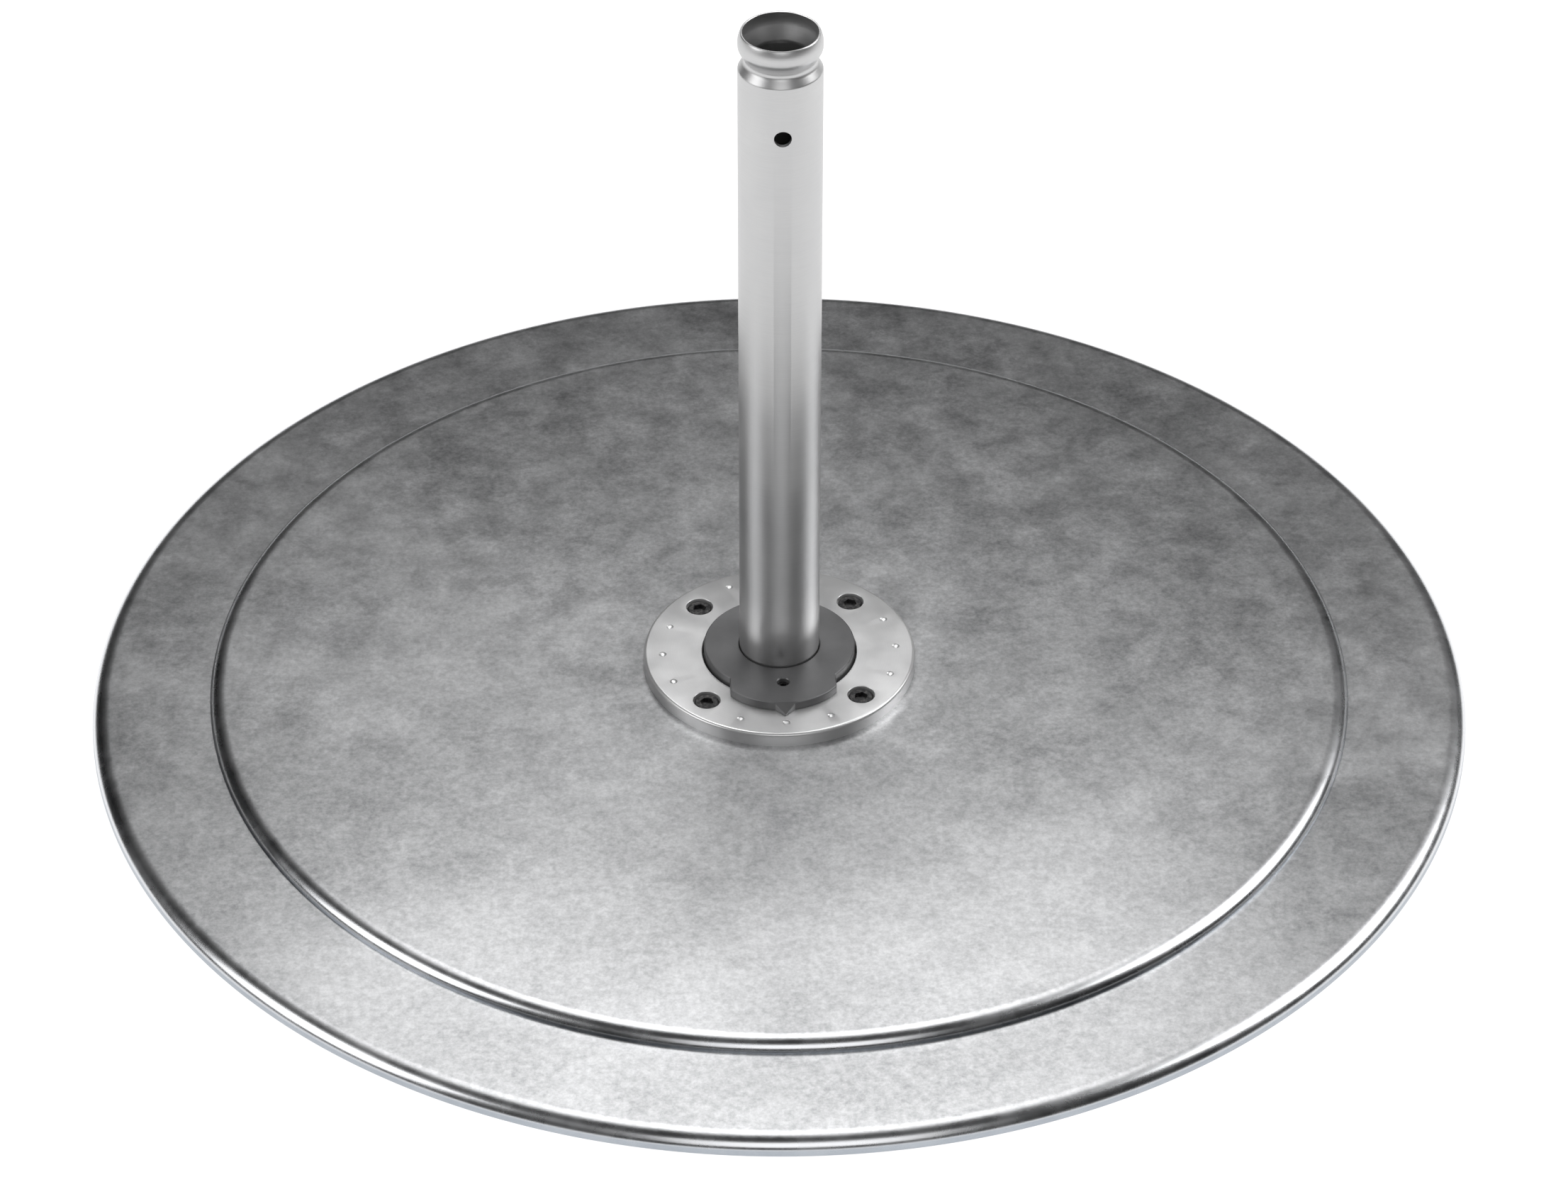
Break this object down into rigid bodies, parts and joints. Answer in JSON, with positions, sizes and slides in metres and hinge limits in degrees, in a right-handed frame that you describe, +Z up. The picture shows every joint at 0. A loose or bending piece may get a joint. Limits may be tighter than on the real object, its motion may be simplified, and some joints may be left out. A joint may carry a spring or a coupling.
{
  "type": "parasol base",
  "caption": "Low round two-tier steel plate parasol base with an indexed clamp ring, a swivelling hub and an open grooved spigot tube.",
  "frame": {"origin": "on the floor under the middle of the plates, at the soles of the foot pads", "axes": "+Z up along the spigot tube and swivel axis, -Y towards the hub's pointer at rest, +X to its right"},
  "size_m": [0.9143, 0.9144, 0.508],
  "materials": {
    "galvanised_steel": "hot-dip galvanised, cloudy grey, satin",
    "ring_aluminium": "fine machined, satin",
    "tube_steel": "satin anodised or brushed, soft sheen",
    "dark_casting": "dark grey powder coat, semi-matt",
    "black_steel": "black oxide steel, satin",
    "zinc_steel": "bright zinc plate",
    "bearing_plastic": "natural acetal, matt",
    "pad_rubber": "black rubber, matt",
    "seal_rubber": "black rubber, matt",
    "pad_brass": "turned brass"
  },
  "bodies": {
    "base": {"lower_plate": "galvanised_steel", "upper_plate": "galvanised_steel", "plate_screws": "zinc_steel", "foot_pad_1": "pad_rubber", "foot_pad_2": "pad_rubber", "foot_pad_3": "pad_rubber", "foot_pad_4": "pad_rubber", "foot_pad_5": "pad_rubber", "foot_pad_6": "pad_rubber", "foot_pad_screws": "zinc_steel", "index_ring": "ring_aluminium", "ring_screws": "black_steel", "lower_thrust_washer": "bearing_plastic", "upper_thrust_washer": "bearing_plastic", "flange_bush": "bearing_plastic", "hub_seal": "seal_rubber"},
    "hub": {"hub_flange": "zinc_steel", "hub_cap": "dark_casting", "hub_screws": "zinc_steel", "spigot_tube": "tube_steel"},
    "lock_pad_body": {"lock_pad": "pad_brass"},
    "lock_screw_body": {"lock_screw": "black_steel"}
  },
  "joints": [
    {"name": "mast_swivel", "type": "hinge", "parent": "base", "child": "hub", "pos_m": [0, 0, 0.0255], "axis": [0, 0, 1], "continuous": true},
    {"name": "lock_pad_press", "type": "slide", "parent": "hub", "child": "lock_pad_body", "axis": [0, 0, -1], "range_m": [0, 0.00095]},
    {"name": "lock_screw_turn", "type": "hinge", "parent": "lock_pad_body", "child": "lock_screw_body", "pos_m": [0, -0.042, 0.03], "axis": [0, 0, -1], "range_deg": [0, 273.9]}
  ],
  "couplings": [
    {"joint": "lock_screw_turn", "follows": "lock_pad_press", "rad_per_m": 5026.5}
  ]
}
